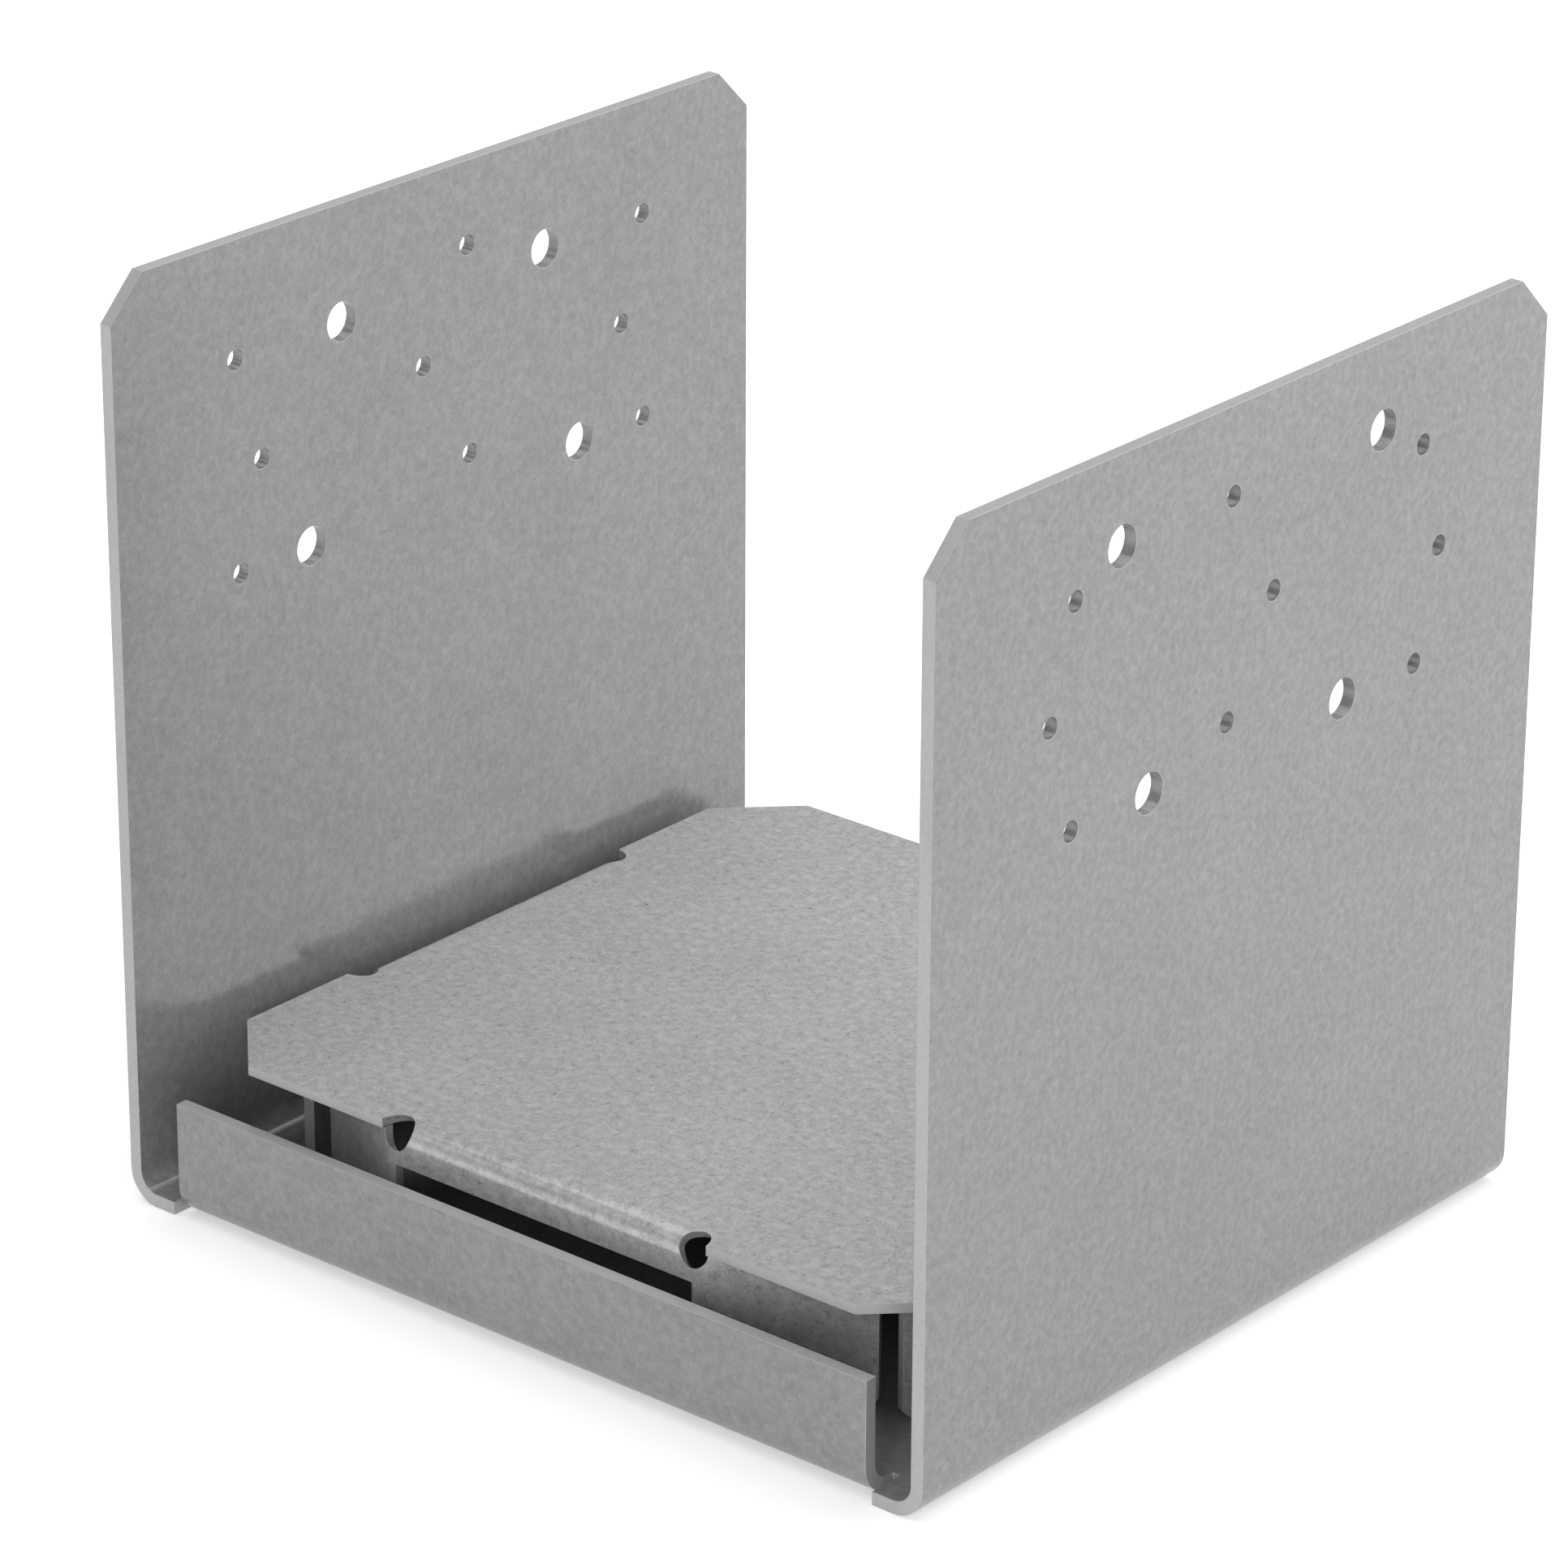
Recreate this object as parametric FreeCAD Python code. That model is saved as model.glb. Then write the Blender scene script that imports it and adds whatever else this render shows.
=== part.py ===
import FreeCAD, Part
import math
import os

# A timber post base in two folded sheets of galvanised steel. The strap is a floor with a
# tall side plate on the left and right and a low lip along the front and back. The standoff
# base stands loose on that floor and keeps the end of the post clear of wet concrete.
# Millimetres, +Z up. X runs across the post, from one side plate to the other, and Y along
# the plates. The origin is in the middle of the strap's underside.

# The strap's sheet and its folds.
strap_gap = 190.5              # clear width between the side plates
strap_depth = 177.8            # width of the strap, which is the side plates' width
strap_height = 186.0           # underside to the top edge
strap_sheet = 2.7              # thickness
strap_bend = 4.0               # inside radius of every fold
strap_corner_crop = 8.5        # 45 degree crop at the side plates' top corners
lip_height = 24.0              # underside to the lip's top edge
lip_end_gap = 10.25            # from each end of a lip to the side plate beside it
lip_relief = 1.5               # slot cut beside each end of a lip
lip_relief_run = 1.0           # how far that slot runs past the fold

# The strap's holes. Both plates have three staggered rows of nails and two pairs of bolts,
# and one plate's pattern is the other's turned about, so that nails don't meet in the post.
nail_hole = 4.1                # diameter
bolt_hole = 7.9                # diameter
nail_rows = 3
nail_row_pitch = 21.3
middle_nail_depth = 17.0       # top edge down to the first nail of the middle column
outer_nail_depth = 23.35       # top edge down to the first nails of the outer columns
middle_nail_offset = 6.35      # middle column, to each side of the centre line in turn
outer_nail_offset = 53.975     # outer columns, mean distance from the centre line
outer_nail_stagger = 3.175     # their stagger about that mean
narrow_bolt_spacing = 57.2
wide_bolt_spacing = 76.2
anchor_hole = 17.5             # diameter, in the floor
anchor_spacing = 101.6         # along X

# The standoff base: its sheet, seat, flanges and legs.
base_sheet = 2.0               # thickness
base_bend = 2.0                # inside radius of every fold
seat_plate_gap = 6.05          # from the seat to each side plate
seat_lip_gap = 4.0             # from the seat to each lip, when the base lies in the middle
seat_rise = 29.3               # strap's floor to the seat's top
seat_corner_crop = 14.5        # 45 degree crop at the seat's corners
base_slide = 2.5               # the loose base lies this far behind the middle
flange_drop = 8.5              # seat's top to the flange's lower edge
relief_spacing = 73.0          # between the two round reliefs of one side
relief_hole = 6.8              # diameter
relief_drop = 0.8              # how far the relief lies below the middle of the fold
leg_reach = 31.5               # from the relief to the leg's far end, along the side
leg_fold = 27.0                # degrees that a leg is folded inwards
leg_top_gap = 0.3              # below the seat that the leg props
foot_crop_run = 2.0            # crop at a foot's two lower corners, along the foot
foot_crop_rise = 2.0           # the same crop, upwards
foot_bend_gap = 0.6            # where a foot lands, clear of the bend below a lip

over = 1.0                     # how far a cutter runs past the metal that it cuts

# Sizes that follow from those above.
lip_width = strap_gap - 2 * lip_end_gap
seat_width = strap_gap - 2 * seat_plate_gap
seat_depth = strap_depth - 2 * (strap_sheet + seat_lip_gap)
seat_top = strap_sheet + seat_rise
bend_overlap = max(strap_bend - seat_lip_gap + base_slide, strap_bend - seat_plate_gap, 0)

FRONT_AND_BACK = (-1, 1)
LEFT_AND_RIGHT = (-1, 1)
UP = FreeCAD.Vector(0, 0, 1)


def in_xy(u, v):
    return FreeCAD.Vector(u, v, 0)


def in_xz(u, v):
    return FreeCAD.Vector(u, 0, v)


def in_yz(u, v):
    return FreeCAD.Vector(0, u, v)


def outline(corners, plane):
    """A flat face from (u, v) or (u, v, radius) corners: a radius rounds that corner."""
    ends = []
    arcs = []
    count = len(corners)
    for index, corner in enumerate(corners):
        here = plane(*corner[:2])
        radius = corner[2] if len(corner) > 2 else 0
        if not radius:
            ends.append((here, here))
            arcs.append(None)
            continue
        back = plane(*corners[index - 1][:2]) - here
        ahead = plane(*corners[(index + 1) % count][:2]) - here
        back.normalize()
        ahead.normalize()
        half_angle = back.getAngle(ahead) / 2
        tangent = radius / math.tan(half_angle)
        middle = back + ahead
        middle.normalize()
        nearest = here + middle * (radius / math.sin(half_angle) - radius)
        ends.append((here + back * tangent, here + ahead * tangent))
        arcs.append(nearest)
    edges = []
    for index in range(count):
        start, finish = ends[index]
        if arcs[index]:
            edges.append(Part.Arc(start, arcs[index], finish).toShape())
        following = ends[(index + 1) % count][0]
        edges.append(Part.makeLine(finish, following))
    return Part.Face(Part.Wire(edges))


def slab(face, along, start, finish):
    """The face pushed along an axis, between two distances from the origin."""
    moved = face.copy()
    moved.translate(along * start)
    return moved.extrude(along * (finish - start))


def box(x_range, y_range, z_range):
    size = [high - low for low, high in (x_range, y_range, z_range)]
    return Part.makeBox(*size, FreeCAD.Vector(x_range[0], y_range[0], z_range[0]))


def turned(shape, degrees):
    """The shape turned about the upright axis through the origin."""
    copy = shape.copy()
    copy.rotate(FreeCAD.Vector(0, 0, 0), UP, degrees)
    return copy


def strap_channel():
    """Floor and side plates as one bent section, with the plates' top corners cropped."""
    inside = strap_gap / 2
    outside = inside + strap_sheet
    outer_bend = strap_bend + strap_sheet
    half_depth = strap_depth / 2
    section = outline([
        (-outside, strap_height), (-outside, 0, outer_bend),
        (outside, 0, outer_bend), (outside, strap_height),
        (inside, strap_height), (inside, strap_sheet, strap_bend),
        (-inside, strap_sheet, strap_bend), (-inside, strap_height)], in_xz)
    channel = slab(section, FreeCAD.Vector(0, 1, 0), -half_depth, half_depth)
    shoulder = half_depth - strap_corner_crop
    side_view = outline([
        (-half_depth, 0), (half_depth, 0),
        (half_depth, strap_height - strap_corner_crop), (shoulder, strap_height),
        (-shoulder, strap_height), (-half_depth, strap_height - strap_corner_crop)], in_yz)
    return channel.common(slab(side_view, FreeCAD.Vector(1, 0, 0), -outside, outside))


def with_lip(channel, end):
    """The channel with a lip turned up from its floor at one end (-1 front, 1 back)."""
    edge = strap_depth / 2
    root = edge - strap_bend - strap_sheet - lip_relief_run
    half_slot = lip_width / 2 + lip_relief
    y_range = sorted((end * root, end * (edge + over)))
    slot = box((-half_slot, half_slot), y_range, (-over, strap_sheet + strap_bend))
    face = outline([
        (end * root, 0), (end * edge, 0, strap_bend + strap_sheet),
        (end * edge, lip_height), (end * (edge - strap_sheet), lip_height),
        (end * (edge - strap_sheet), strap_sheet, strap_bend),
        (end * root, strap_sheet)], in_yz)
    lip = slab(face, FreeCAD.Vector(1, 0, 0), -lip_width / 2, lip_width / 2)
    return channel.cut(slot).fuse(lip)


def side_plate_holes(side):
    """(diameter, y, z) of each hole in one side plate (-1 left, 1 right)."""
    holes = []
    for row in range(nail_rows):
        turn = -side if row % 2 == 0 else side
        middle_z = strap_height - middle_nail_depth - row * nail_row_pitch
        outer_z = strap_height - outer_nail_depth - row * nail_row_pitch
        outer_y = outer_nail_offset + turn * outer_nail_stagger
        holes.append((nail_hole, turn * middle_nail_offset, middle_z))
        holes.append((nail_hole, -outer_y, outer_z))
        holes.append((nail_hole, outer_y, outer_z))
    last_row_depth = outer_nail_depth + (nail_rows - 1) * nail_row_pitch
    if side < 0:
        bolt_pairs = ((narrow_bolt_spacing, outer_nail_depth), (wide_bolt_spacing, last_row_depth))
    else:
        bolt_pairs = ((wide_bolt_spacing, middle_nail_depth), (narrow_bolt_spacing, last_row_depth))
    for spacing, depth in bolt_pairs:
        for hand in (-1, 1):
            holes.append((bolt_hole, hand * spacing / 2, strap_height - depth))
    return holes


def strap_drills():
    """One cylinder for each hole in the side plates and the floor."""
    drills = []
    reach = strap_sheet + 2 * over
    for side in LEFT_AND_RIGHT:
        for diameter, y, z in side_plate_holes(side):
            start = FreeCAD.Vector(side * (strap_gap / 2 - over), y, z)
            drills.append(Part.makeCylinder(diameter / 2, reach, start, FreeCAD.Vector(side, 0, 0)))
    for hand in (-1, 1):
        start = FreeCAD.Vector(hand * anchor_spacing / 2, 0, -over)
        drills.append(Part.makeCylinder(anchor_hole / 2, reach, start, UP))
    return drills


def make_strap():
    shape = strap_channel()
    for end in FRONT_AND_BACK:
        shape = with_lip(shape, end)
    return shape.cut(strap_drills()).removeSplitter()


def seat_plate():
    """The flat seat with cropped corners, cut back where a flange folds down."""
    half_x = seat_width / 2
    half_y = seat_depth / 2
    crop = seat_corner_crop
    face = outline([
        (half_x - crop, -half_y), (half_x, -half_y + crop),
        (half_x, half_y - crop), (half_x - crop, half_y),
        (-half_x + crop, half_y), (-half_x, half_y - crop),
        (-half_x, -half_y + crop), (-half_x + crop, -half_y)], in_xy)
    return slab(face, UP, seat_top - base_sheet, seat_top)


def side_fold(half_span):
    """One side of the base, at Y = -half_span: a flange, and a leg folded in from each end.

    Returns the solids that it adds, the strip that the fold takes out of the seat, and the
    drills of the two round reliefs at the fold's ends.
    """
    outer_bend = base_bend + base_sheet
    relief_x = relief_spacing / 2
    fold_start = half_span - outer_bend
    strip_z = (seat_top - base_sheet - over, seat_top + over)
    strip = box((-relief_x, relief_x), (-half_span - over, -fold_start), strip_z)

    # The flange's section starts a little inside the seat, so that the two become one.
    inner_y = -half_span + base_sheet
    section = outline([
        (-fold_start + over, seat_top), (-half_span, seat_top, outer_bend),
        (-half_span, seat_top - flange_drop), (inner_y, seat_top - flange_drop),
        (inner_y, seat_top - base_sheet, base_bend),
        (-fold_start + over, seat_top - base_sheet)], in_yz)
    added = [slab(section, FreeCAD.Vector(1, 0, 0), -relief_x, relief_x)]
    drills = []
    slope = FreeCAD.Vector(0, -1, 1)
    relief_z = seat_top - outer_bend - relief_drop
    for hand in LEFT_AND_RIGHT:
        added.append(leg(hand, half_span))
        start = FreeCAD.Vector(hand * relief_x, -fold_start, relief_z)
        drills.append(Part.makeCylinder(relief_hole / 2, 2 * outer_bend, start, slope))
    return added, strip, drills


def leg(hand, half_span):
    """A leg: it starts in line with the flange and folds inwards under the seat."""
    fold = math.radians(leg_fold)
    start = relief_spacing / 2
    bend_x = start + base_bend
    end_x = start + leg_reach
    run = end_x - bend_x
    ahead = (math.cos(fold), math.sin(fold))
    inward = (-ahead[1] * base_sheet, ahead[0] * base_sheet)
    far_outer = (end_x, -half_span + run * math.tan(fold))
    far_inner = (far_outer[0] + inward[0], far_outer[1] + inward[1])
    inner_bend_x = bend_x - base_sheet * math.tan(fold / 2)
    plan = outline([
        (hand * start, -half_span), (hand * bend_x, -half_span, base_bend + base_sheet),
        (hand * far_outer[0], far_outer[1]), (hand * far_inner[0], far_inner[1]),
        (hand * inner_bend_x, -half_span + base_sheet, base_bend),
        (hand * start, -half_span + base_sheet)], in_xy)
    upright = slab(plan, UP, strap_sheet, seat_top - base_sheet - leg_top_gap)

    # A foot lands only where the strap's floor is flat, past the bend below the lip.
    landing = base_bend + bend_overlap / math.tan(fold) + foot_bend_gap
    near = FreeCAD.Vector(hand * start, -half_span, strap_sheet)
    far = FreeCAD.Vector(hand * far_outer[0], far_outer[1], strap_sheet)
    near_crop = foot_crop(near, FreeCAD.Vector(hand, 0, 0), max(foot_crop_run, landing))
    far_crop = foot_crop(far, FreeCAD.Vector(-hand * ahead[0], -ahead[1], 0), foot_crop_run)
    return upright.cut([near_crop, far_crop])


def foot_crop(corner, along, run):
    """A cutter for a foot's lower corner: run is its length; along points into the foot."""
    toe = corner + along * run
    heel = corner + UP * foot_crop_rise
    beyond = along * -over
    below = UP * -over
    face = Part.Face(Part.makePolygon([
        toe, heel, heel + beyond, corner + beyond + below, toe + below, toe]))
    across = UP.cross(along) * (base_sheet + over)
    face.translate(-across)
    return face.extrude(across * 2)


def make_standoff_base():
    shape = seat_plate()
    parts = []
    drills = []
    for quarter in range(4):
        half_span = (seat_depth if quarter % 2 == 0 else seat_width) / 2
        added, strip, holes = side_fold(half_span)
        angle = quarter * 90
        shape = shape.cut(turned(strip, angle))
        parts += [turned(piece, angle) for piece in added]
        drills += [turned(hole, angle) for hole in holes]
    shape = shape.fuse(parts).cut(drills).removeSplitter()
    shape.translate(FreeCAD.Vector(0, base_slide, 0))
    return shape


def save(name, shape):
    solids = shape.Solids
    if len(solids) != 1 or not shape.isValid():
        raise ValueError(f"{name} should be one valid solid, not {len(solids)}")
    print(name, "volume", round(shape.Volume), "mm3, faces", len(shape.Faces))
    solids[0].exportStep(f"parts/{name}.step")


os.makedirs("parts", exist_ok=True)
save("strap", make_strap())
save("standoff_base", make_standoff_base())
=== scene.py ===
import math

import bmesh
import bpy
from mathutils import Matrix, Vector


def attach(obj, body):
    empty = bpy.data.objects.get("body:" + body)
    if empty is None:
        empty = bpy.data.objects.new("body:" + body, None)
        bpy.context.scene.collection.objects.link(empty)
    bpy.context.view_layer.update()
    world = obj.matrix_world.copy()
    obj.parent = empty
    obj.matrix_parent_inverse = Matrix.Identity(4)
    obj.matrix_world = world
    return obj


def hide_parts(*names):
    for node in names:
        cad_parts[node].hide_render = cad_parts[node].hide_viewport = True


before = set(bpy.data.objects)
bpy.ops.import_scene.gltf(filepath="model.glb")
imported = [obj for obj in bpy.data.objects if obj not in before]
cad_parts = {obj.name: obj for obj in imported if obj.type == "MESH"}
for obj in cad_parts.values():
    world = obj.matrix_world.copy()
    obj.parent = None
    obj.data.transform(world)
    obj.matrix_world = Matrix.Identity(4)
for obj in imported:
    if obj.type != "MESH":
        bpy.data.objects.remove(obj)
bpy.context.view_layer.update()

# The strap: one blank of zinc-coated steel sheet, punched flat and then folded. Its floor
# turns up into two tall side plates for the post and into a low lip at the front and back.
# The sheet's skin is smooth dull zinc, and its sheared edges are slightly rounded and painted
# paler as a painted highlight.
millimetre = 0.001
strap_edge_round = 0.22 * millimetre
widest_sheared_edge = 3.5 * millimetre
same_point = 0.001 * millimetre
same_plane = math.radians(0.5)
sharp = math.radians(35)


def sheet_piece(node, name, edge_round, skin_zinc, edge_highlight_zinc):
    """A piece with the node's form: one closed skin, smooth over the folds, edges rounded.

    A sheared edge is a narrow face that only sharp edges bound. It has the paler edge zinc, a
    painted highlight, and so have the roundings.
    """
    skin_slot, edge_slot = 0, 1
    skin = bmesh.new()
    skin.from_mesh(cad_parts[node].data)
    bmesh.ops.remove_doubles(skin, verts=skin.verts, dist=same_point)
    bmesh.ops.dissolve_limit(
        skin, angle_limit=same_plane, verts=skin.verts, edges=skin.edges)
    for face in skin.faces:
        face.smooth = True
        width = 2 * face.calc_area() / sum(edge.calc_length() for edge in face.edges)
        apart = all(edge.calc_face_angle(0) > sharp for edge in face.edges)
        sheared = apart and width < widest_sheared_edge
        face.material_index = edge_slot if sheared else skin_slot
    mesh = bpy.data.meshes.new(name)
    skin.to_mesh(mesh)
    skin.free()
    mesh.materials.append(skin_zinc)
    mesh.materials.append(edge_highlight_zinc)
    draft = bpy.data.objects.new(name + "_draft", mesh)
    bpy.context.scene.collection.objects.link(draft)
    rounding = draft.modifiers.new("edge_round", "BEVEL")
    rounding.width = edge_round
    rounding.segments = 2
    rounding.limit_method = "ANGLE"
    rounding.angle_limit = sharp
    rounding.material = edge_slot
    shading = draft.modifiers.new("shading", "WEIGHTED_NORMAL")
    shading.mode = "FACE_AREA"
    shading.weight = 100
    evaluated = draft.evaluated_get(bpy.context.evaluated_depsgraph_get())
    finished = bpy.data.meshes.new_from_object(evaluated)
    bpy.data.objects.remove(draft)
    finished.name = name
    piece = bpy.data.objects.new(name, finished)
    bpy.context.scene.collection.objects.link(piece)
    return piece


def zinc_coat_group():
    """Zinc's mottle: grains of uneven tone, wide clouds and short dark marks in the coat."""
    tree = bpy.data.node_groups.new("zinc_coat", "ShaderNodeTree")
    sockets = tree.interface
    sockets.new_socket("Tone", in_out="INPUT", socket_type="NodeSocketColor")
    for label in ("Grain size", "Grain contrast", "Cloud contrast", "Mark contrast",
                  "Roughness", "Roughness spread"):
        sockets.new_socket(label, in_out="INPUT", socket_type="NodeSocketFloat")
    sockets.new_socket("Color", in_out="OUTPUT", socket_type="NodeSocketColor")
    for label in ("Roughness", "Height"):
        sockets.new_socket(label, in_out="OUTPUT", socket_type="NodeSocketFloat")
    nodes, links = tree.nodes, tree.links
    entry = nodes.new("NodeGroupInput")
    leaving = nodes.new("NodeGroupOutput")
    place = nodes.new("ShaderNodeTexCoord")

    per_size = nodes.new("ShaderNodeMath")
    per_size.operation = "DIVIDE"
    per_size.inputs[0].default_value = 1.0
    links.new(entry.outputs["Grain size"], per_size.inputs[1])

    grain = nodes.new("ShaderNodeTexNoise")
    grain.inputs["Detail"].default_value = 4.0
    grain.inputs["Roughness"].default_value = 0.65
    links.new(place.outputs["Object"], grain.inputs["Vector"])
    links.new(per_size.outputs[0], grain.inputs["Scale"])

    clouds_per_metre = 28.0
    cloud = nodes.new("ShaderNodeTexNoise")
    cloud.inputs["Scale"].default_value = clouds_per_metre
    cloud.inputs["Detail"].default_value = 2.0
    links.new(place.outputs["Object"], cloud.inputs["Vector"])

    # A mark is where a winding noise crosses its middle value.
    middle = 0.5
    mark_width = 0.05
    winding = nodes.new("ShaderNodeTexNoise")
    winding.inputs["Detail"].default_value = 1.0
    winding.inputs["Distortion"].default_value = 1.5
    links.new(place.outputs["Object"], winding.inputs["Vector"])
    links.new(per_size.outputs[0], winding.inputs["Scale"])
    off_middle = nodes.new("ShaderNodeMath")
    off_middle.operation = "SUBTRACT"
    off_middle.inputs[1].default_value = middle
    links.new(winding.outputs["Fac"], off_middle.inputs[0])
    distance = nodes.new("ShaderNodeMath")
    distance.operation = "ABSOLUTE"
    links.new(off_middle.outputs[0], distance.inputs[0])
    unmarked = nodes.new("ShaderNodeMapRange")
    unmarked.inputs["From Max"].default_value = mark_width
    links.new(distance.outputs[0], unmarked.inputs["Value"])

    def swing(source, amount):
        """The source about its middle, times the amount."""
        centred = nodes.new("ShaderNodeMath")
        centred.operation = "SUBTRACT"
        centred.inputs[1].default_value = middle
        links.new(source, centred.inputs[0])
        scaled = nodes.new("ShaderNodeMath")
        scaled.operation = "MULTIPLY"
        links.new(centred.outputs[0], scaled.inputs[0])
        links.new(amount, scaled.inputs[1])
        return scaled.outputs[0]

    def total(first, second):
        added = nodes.new("ShaderNodeMath")
        links.new(first, added.inputs[0])
        links.new(second, added.inputs[1])
        return added.outputs[0]

    tints = total(
        total(swing(grain.outputs["Fac"], entry.outputs["Grain contrast"]),
              swing(cloud.outputs["Fac"], entry.outputs["Cloud contrast"])),
        swing(unmarked.outputs[0], entry.outputs["Mark contrast"]))
    factor = nodes.new("ShaderNodeMath")
    factor.inputs[1].default_value = 1.0
    links.new(tints, factor.inputs[0])
    tone = nodes.new("ShaderNodeVectorMath")
    tone.operation = "SCALE"
    links.new(entry.outputs["Tone"], tone.inputs[0])
    links.new(factor.outputs[0], tone.inputs["Scale"])
    links.new(tone.outputs[0], leaving.inputs["Color"])

    rough = total(
        swing(grain.outputs["Fac"], entry.outputs["Roughness spread"]),
        entry.outputs["Roughness"])
    links.new(rough, leaving.inputs["Roughness"])
    links.new(grain.outputs["Fac"], leaving.inputs["Height"])
    return tree


zinc_coat = zinc_coat_group()


def zinc_material(name, values, metallic, bump_strength, bump_depth):
    """Dull zinc: the coat's tones and roughness on one metal shader, with a fine bump."""
    material = bpy.data.materials.new(name)
    material.use_nodes = True
    nodes, links = material.node_tree.nodes, material.node_tree.links
    shader = nodes["Principled BSDF"]
    shader.inputs["Metallic"].default_value = metallic
    coat = nodes.new("ShaderNodeGroup")
    coat.node_tree = zinc_coat
    for label, value in values.items():
        coat.inputs[label].default_value = value
    links.new(coat.outputs["Color"], shader.inputs["Base Color"])
    links.new(coat.outputs["Roughness"], shader.inputs["Roughness"])
    bump = nodes.new("ShaderNodeBump")
    bump.inputs["Strength"].default_value = bump_strength
    bump.inputs["Distance"].default_value = bump_depth
    links.new(coat.outputs["Height"], bump.inputs["Height"])
    links.new(bump.outputs["Normal"], shader.inputs["Normal"])
    return material


strap_zinc = zinc_material(
    "strap_zinc",
    {"Tone": (0.265, 0.265, 0.265, 1), "Grain size": 1.6 * millimetre, "Grain contrast": 0.85,
     "Cloud contrast": 0.14, "Mark contrast": 0.06, "Roughness": 0.2, "Roughness spread": 0.1},
    metallic=0.22, bump_strength=0.08, bump_depth=0.1 * millimetre)
# Paler than the strap's zinc: a painted highlight along the cut edges and their roundings.
edge_highlight_zinc = zinc_material(
    "edge_highlight_zinc",
    {"Tone": (0.43, 0.43, 0.43, 1), "Grain size": 0.9 * millimetre, "Grain contrast": 0.3,
     "Cloud contrast": 0.2, "Mark contrast": 0.0, "Roughness": 0.3, "Roughness spread": 0.1},
    metallic=0.3, bump_strength=0.05, bump_depth=0.05 * millimetre)
strap = sheet_piece("strap", "strap_sheet", strap_edge_round, strap_zinc, edge_highlight_zinc)
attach(strap, "root")
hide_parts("strap")

# The standoff base: a second, thinner sheet that lies loose on the strap's floor. A short
# flange folds down in the middle of each side, and eight legs carry the seat.
base_edge_round = 0.16 * millimetre

base_zinc = zinc_material(
    "base_zinc",
    {"Tone": (0.44, 0.44, 0.44, 1), "Grain size": 2.0 * millimetre, "Grain contrast": 1.1,
     "Cloud contrast": 0.2, "Mark contrast": 0.3, "Roughness": 0.3, "Roughness spread": 0.14},
    metallic=0.4, bump_strength=0.25, bump_depth=0.15 * millimetre)
base = sheet_piece("standoff_base", "standoff_sheet", base_edge_round, base_zinc, edge_highlight_zinc)
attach(base, "root")
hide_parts("standoff_base")

# The floor: a wide pale sheet under the strap. It shows white to the eye and to the metal,
# and takes the soft shadow of the object.
floor_reach = 12.0
floor_drop = 0.02 * millimetre
floor_glow = 0.4
floor_mesh = bpy.data.meshes.new("floor")
floor_mesh.from_pydata(
    [(-floor_reach, -floor_reach, 0), (floor_reach, -floor_reach, 0),
     (floor_reach, floor_reach, 0), (-floor_reach, floor_reach, 0)], [], [(0, 1, 2, 3)])
floor = bpy.data.objects.new("floor", floor_mesh)
bpy.context.scene.collection.objects.link(floor)
floor.location.z = -floor_drop

floor_paint = bpy.data.materials.new("floor_paint")
floor_paint.use_nodes = True
nodes, links = floor_paint.node_tree.nodes, floor_paint.node_tree.links
floor_shader = nodes["Principled BSDF"]
floor_shader.inputs["Base Color"].default_value = (0.8, 0.8, 0.8, 1)
floor_shader.inputs["Roughness"].default_value = 0.9
floor_shader.inputs["Specular IOR Level"].default_value = 0.0
floor_shader.inputs["Emission Color"].default_value = (1, 1, 1, 1)
seen_by = nodes.new("ShaderNodeLightPath")
seen = seen_by.outputs["Is Camera Ray"]
for ray in ("Is Glossy Ray", "Is Transmission Ray"):
    either = nodes.new("ShaderNodeMath")
    either.operation = "MAXIMUM"
    links.new(seen, either.inputs[0])
    links.new(seen_by.outputs[ray], either.inputs[1])
    seen = either.outputs[0]
glow = nodes.new("ShaderNodeMath")
glow.operation = "MULTIPLY"
glow.inputs[1].default_value = floor_glow
links.new(seen, glow.inputs[0])
links.new(glow.outputs[0], floor_shader.inputs["Emission Strength"])
floor_mesh.materials.append(floor_paint)

# The studio: pale walls that stand a little above the horizon under a dim ceiling, with a wide
# soft lamp overhead, one at the front right, two behind the object, which reach in between
# the side plates, and one for its left side.
wall_level = 1.0
ceiling_level = 0.06
wall_top = 0.13
wall_fade = 0.04
world = bpy.data.worlds.new("studio")
bpy.context.scene.world = world
world.use_nodes = True
nodes, links = world.node_tree.nodes, world.node_tree.links
room = nodes["Background"]
room.inputs["Color"].default_value = (1, 1, 1, 1)
outlook = nodes.new("ShaderNodeTexCoord")
height = nodes.new("ShaderNodeSeparateXYZ")
links.new(outlook.outputs["Generated"], height.inputs[0])
level = nodes.new("ShaderNodeMapRange")
level.inputs["From Min"].default_value = wall_top
level.inputs["From Max"].default_value = wall_top + wall_fade
level.inputs["To Min"].default_value = wall_level
level.inputs["To Max"].default_value = ceiling_level
links.new(height.outputs["Z"], level.inputs["Value"])
links.new(level.outputs[0], room.inputs["Strength"])


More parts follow.
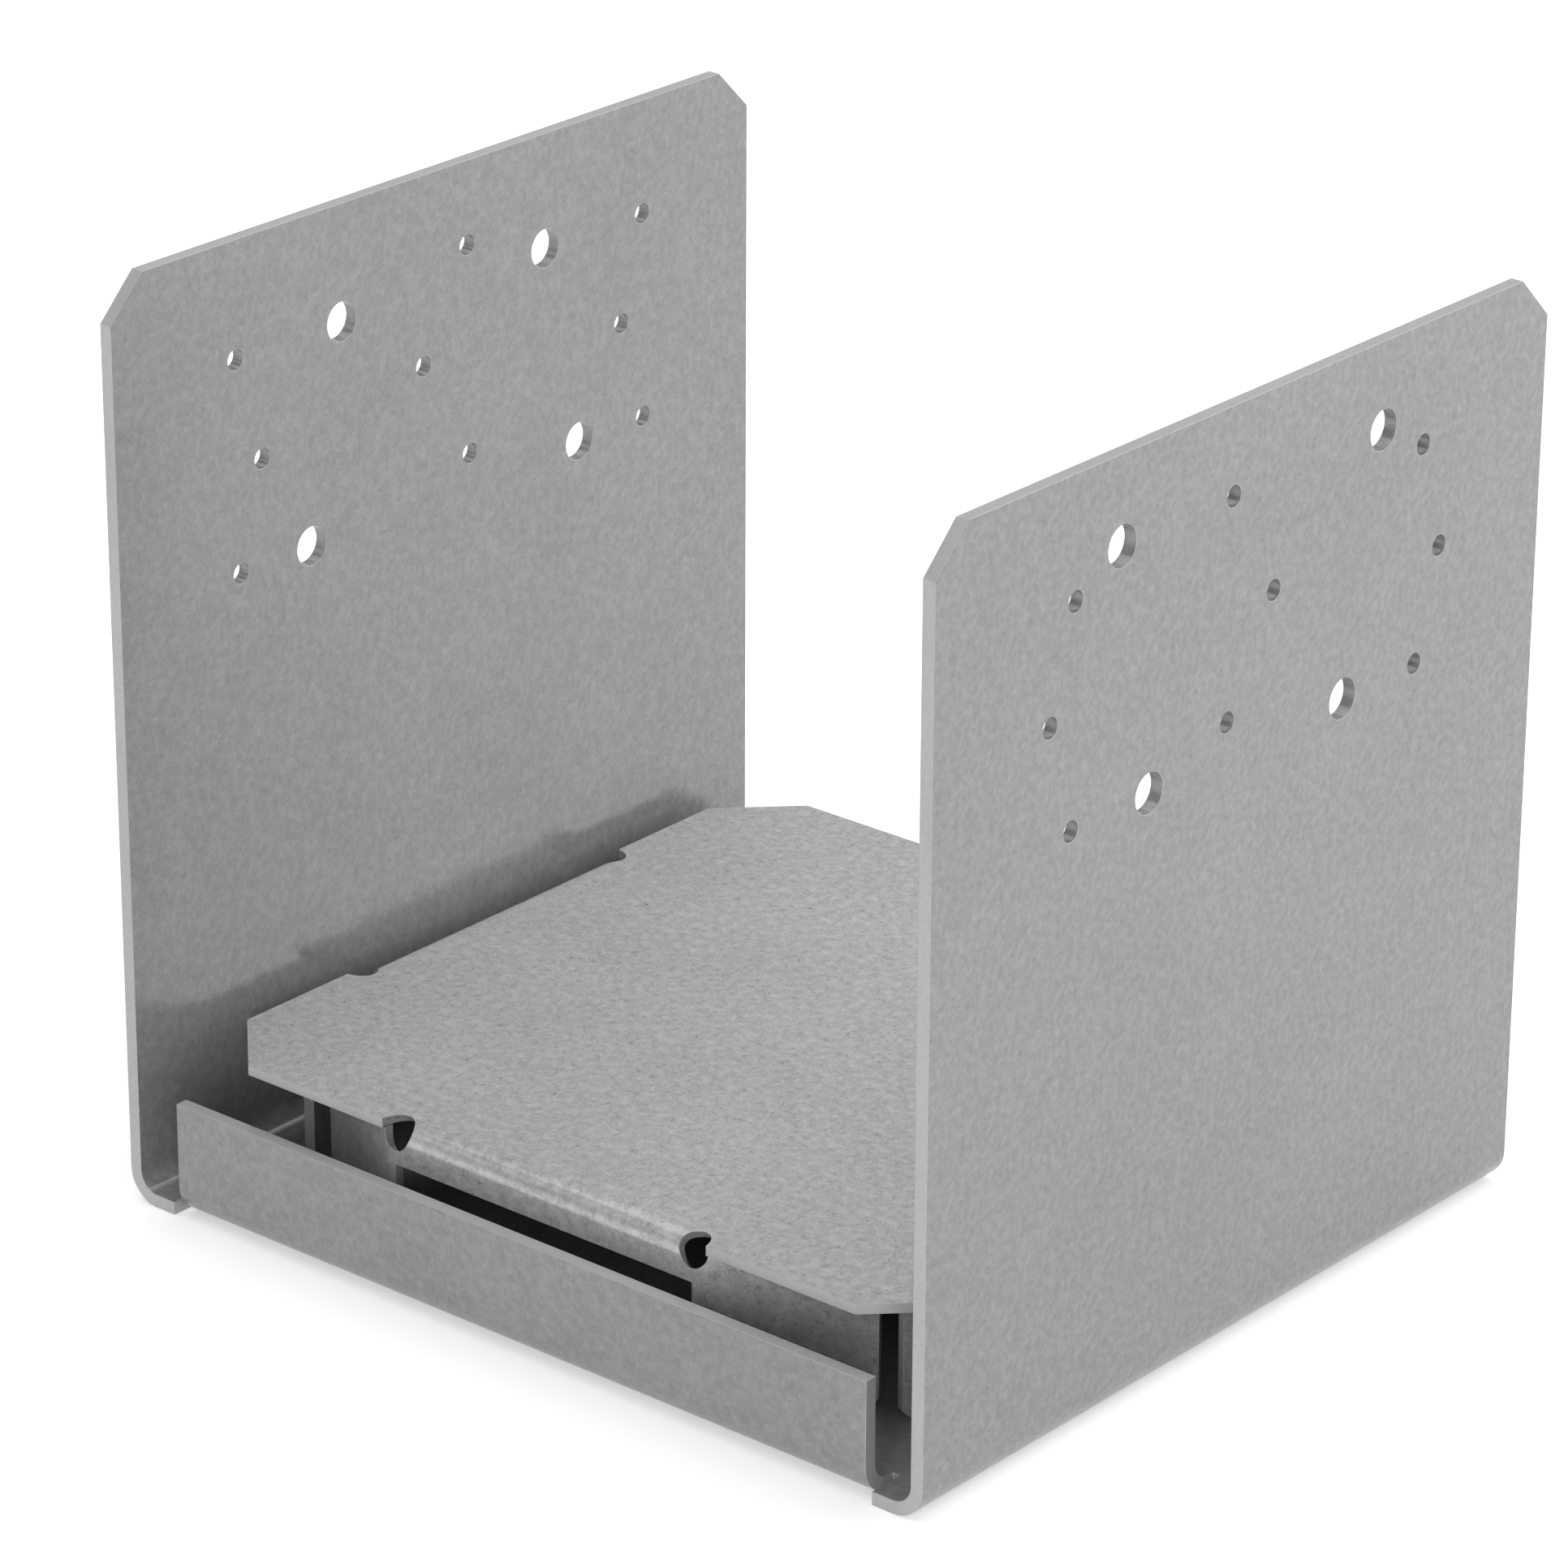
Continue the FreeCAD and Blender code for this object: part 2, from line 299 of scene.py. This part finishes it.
def soft_lamp(name, towards, distance, size, brightness):
    """A square soft lamp aimed at the object; brightness is its face's, where 1 is white."""
    light = bpy.data.lights.new(name, "AREA")
    light.shape = "SQUARE"
    light.size = size
    light.energy = brightness * math.pi * size ** 2
    lamp = bpy.data.objects.new(name, light)
    bpy.context.scene.collection.objects.link(lamp)
    direction = Vector(towards).normalized()
    lamp.location = direction * distance
    lamp.rotation_euler = direction.to_track_quat("Z", "Y").to_euler()


soft_lamp("overhead_lamp", (-0.1, 0.1, 1), distance=1.5, size=2.2, brightness=1.5)
soft_lamp("front_lamp", (0.5, -0.8, 0.35), distance=1.8, size=1.0, brightness=4.2)
soft_lamp("back_right_lamp", (0.59, 0.70, 0.39), distance=1.8, size=1.5, brightness=3.2)
soft_lamp("back_left_lamp", (-0.59, 0.70, 0.45), distance=1.8, size=1.2, brightness=0.5)
soft_lamp("left_lamp", (-0.85, -0.35, 0.35), distance=1.8, size=1.2, brightness=1.2)

# The camera stands to the front right of the base, a little above it. Its lengths are in
# metres, and its lens and sensor in millimetres.
camera_azimuth = math.radians(40.18)
camera_elevation = math.radians(23.17)
camera_roll = math.radians(0.28)
camera_distance = 1.2724
camera_lens = 155.67
camera_sensor = 36
aim = Vector((0, 0, 0.09))
aim_shift = Vector((-0.007335, -0.004489))

backward = Vector((
    math.sin(camera_azimuth) * math.cos(camera_elevation),
    -math.cos(camera_azimuth) * math.cos(camera_elevation),
    math.sin(camera_elevation)))
level_right = Vector((math.cos(camera_azimuth), math.sin(camera_azimuth), 0))
level_up = backward.cross(level_right)
right = level_right * math.cos(camera_roll) + level_up * math.sin(camera_roll)
up = level_up * math.cos(camera_roll) - level_right * math.sin(camera_roll)
camera_data = bpy.data.cameras.new("camera")
camera_data.lens = camera_lens
camera_data.sensor_width = camera_sensor
camera_data.clip_start = 0.05
camera = bpy.data.objects.new("camera", camera_data)
bpy.context.scene.collection.objects.link(camera)
camera_place = aim + right * aim_shift.x + up * aim_shift.y + backward * camera_distance
camera.matrix_world = Matrix.Translation(camera_place) @ Matrix((
    (right.x, up.x, backward.x, 0), (right.y, up.y, backward.y, 0),
    (right.z, up.z, backward.z, 0), (0, 0, 0, 1)))
bpy.context.scene.camera = camera
bpy.context.scene.view_settings.view_transform = "Standard"
